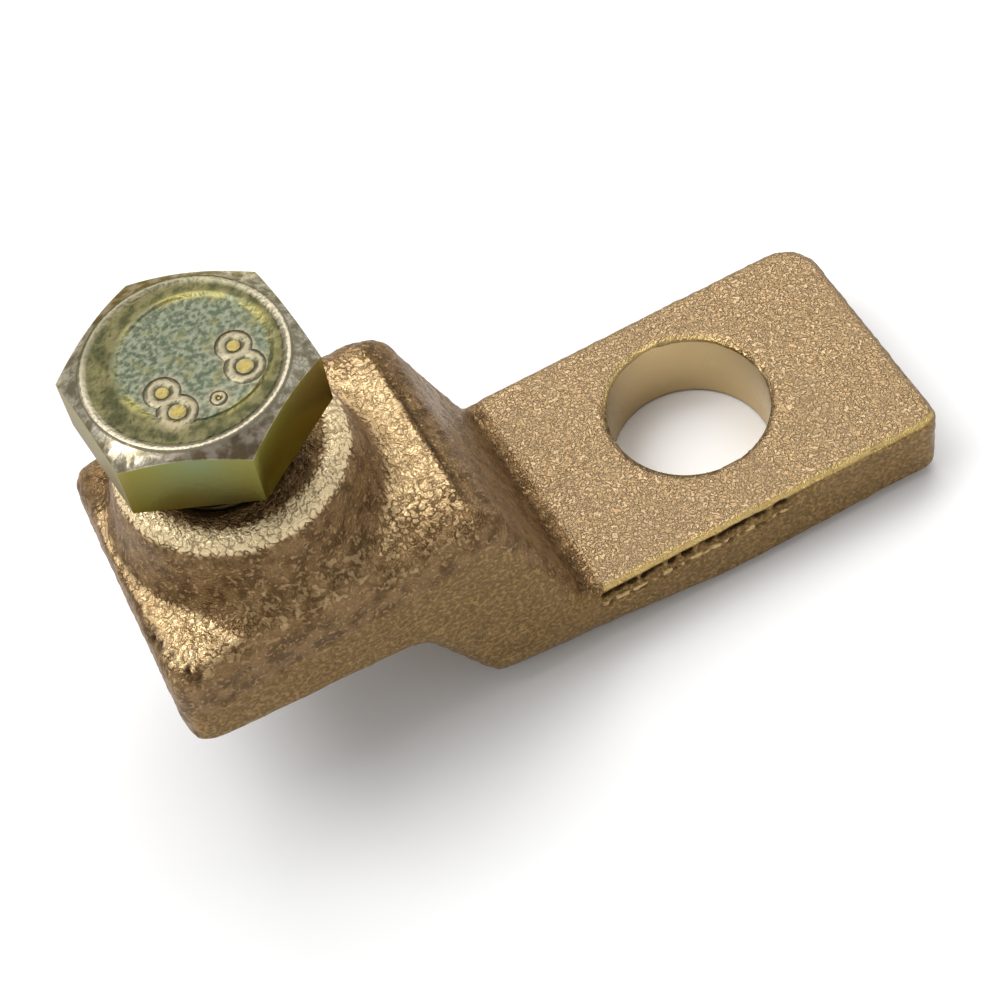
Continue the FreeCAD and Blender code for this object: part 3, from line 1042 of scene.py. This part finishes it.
def add_camera():
    """Sets the camera where the photograph was taken from."""
    camera = bpy.data.cameras.new("camera")
    camera.sensor_width = CAMERA_SENSOR
    camera.lens = CAMERA_LENS
    camera.clip_start = CAMERA_NEAR
    viewer = bpy.data.objects.new("camera", camera)
    right = Vector(CAMERA_RIGHT).normalized()
    forward = Vector(CAMERA_FORWARD).normalized()
    right = (right - forward * right.dot(forward)).normalized()
    up = right.cross(forward)
    turn = Matrix((right, up, -forward)).transposed()
    place = Matrix.Translation(Vector(CAMERA_PLACE) * MM)
    viewer.matrix_world = place @ turn.to_4x4()
    bpy.context.scene.collection.objects.link(viewer)
    bpy.context.scene.camera = viewer


def build_stage(stage):
    """Makes the floor, the lights, the surroundings and the camera."""
    bm = bmesh.new()
    bmesh.ops.create_grid(bm, x_segments=4, y_segments=4, size=FLOOR_SIZE)
    mesh = bpy.data.meshes.new("floor")
    bm.to_mesh(mesh)
    bm.free()
    floor = link_object("floor", mesh)
    mesh.materials.append(floor_material(stage))
    add_area_light("key", KEY_PLACE, KEY_SIZE, stage.key_power)
    add_area_light("fill", FILL_PLACE, FILL_SIZE, stage.fill_power)
    world = bpy.data.worlds.new("surroundings")
    world.use_nodes = True
    background = world.node_tree.nodes["Background"]
    background.inputs["Color"].default_value = SURROUNDINGS_COLOR
    background.inputs["Strength"].default_value = SURROUNDINGS_STRENGTH
    bpy.context.scene.world = world
    bpy.context.scene.view_settings.view_transform = "Standard"
    add_camera()


# Operators, panel and registration


class BuildCasting(bpy.types.Operator):
    """Builds the cast brass terminal around its solid."""

    bl_idname = "terminal.build_casting"
    bl_label = "Cast terminal"

    def execute(self, context):
        piece = build_casting(context.scene.terminal_casting)
        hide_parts("terminal_body")
        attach(piece, "terminal")
        return {"FINISHED"}


class BuildBolt(bpy.types.Operator):
    """Builds the zinc plated hexagon bolt around its solid."""

    bl_idname = "terminal.build_bolt"
    bl_label = "Hexagon bolt"

    def execute(self, context):
        piece = build_bolt(context.scene.terminal_bolt)
        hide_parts("hex_bolt")
        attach(piece, "bolt")
        return {"FINISHED"}


class BuildStage(bpy.types.Operator):
    """Builds the floor, the lights and the camera."""

    bl_idname = "terminal.build_stage"
    bl_label = "Stage"

    def execute(self, context):
        build_stage(context.scene.terminal_stage)
        return {"FINISHED"}


class TerminalPanel(bpy.types.Panel):
    """Lists the terminal's pieces in the sidebar."""

    bl_idname = "VIEW3D_PT_terminal"
    bl_label = "Battery ring terminal"
    bl_space_type = "VIEW_3D"
    bl_region_type = "UI"
    bl_category = "Terminal"

    def draw(self, context):
        for settings, operator in (
            (context.scene.terminal_casting, BuildCasting),
            (context.scene.terminal_bolt, BuildBolt),
            (context.scene.terminal_stage, BuildStage),
        ):
            box = self.layout.box()
            for name in settings.bl_rna.properties.keys():
                if name not in ("rna_type", "name"):
                    box.prop(settings, name)
            box.operator(operator.bl_idname)


CLASSES = (
    TerminalCastingSettings,
    TerminalBoltSettings,
    TerminalStageSettings,
    BuildCasting,
    BuildBolt,
    BuildStage,
    TerminalPanel,
)


def register():
    """Registers the classes and their settings."""
    for item in CLASSES:
        bpy.utils.register_class(item)
    bpy.types.Scene.terminal_casting = bpy.props.PointerProperty(type=TerminalCastingSettings)
    bpy.types.Scene.terminal_bolt = bpy.props.PointerProperty(type=TerminalBoltSettings)
    bpy.types.Scene.terminal_stage = bpy.props.PointerProperty(type=TerminalStageSettings)


def unregister():
    """Removes the settings and the classes."""
    del bpy.types.Scene.terminal_casting
    del bpy.types.Scene.terminal_bolt
    del bpy.types.Scene.terminal_stage
    for item in reversed(CLASSES):
        bpy.utils.unregister_class(item)


def main():
    register()
    bpy.ops.terminal.build_casting()
    bpy.ops.terminal.build_bolt()
    bpy.ops.terminal.build_stage()


if __name__ == "__main__":
    main()
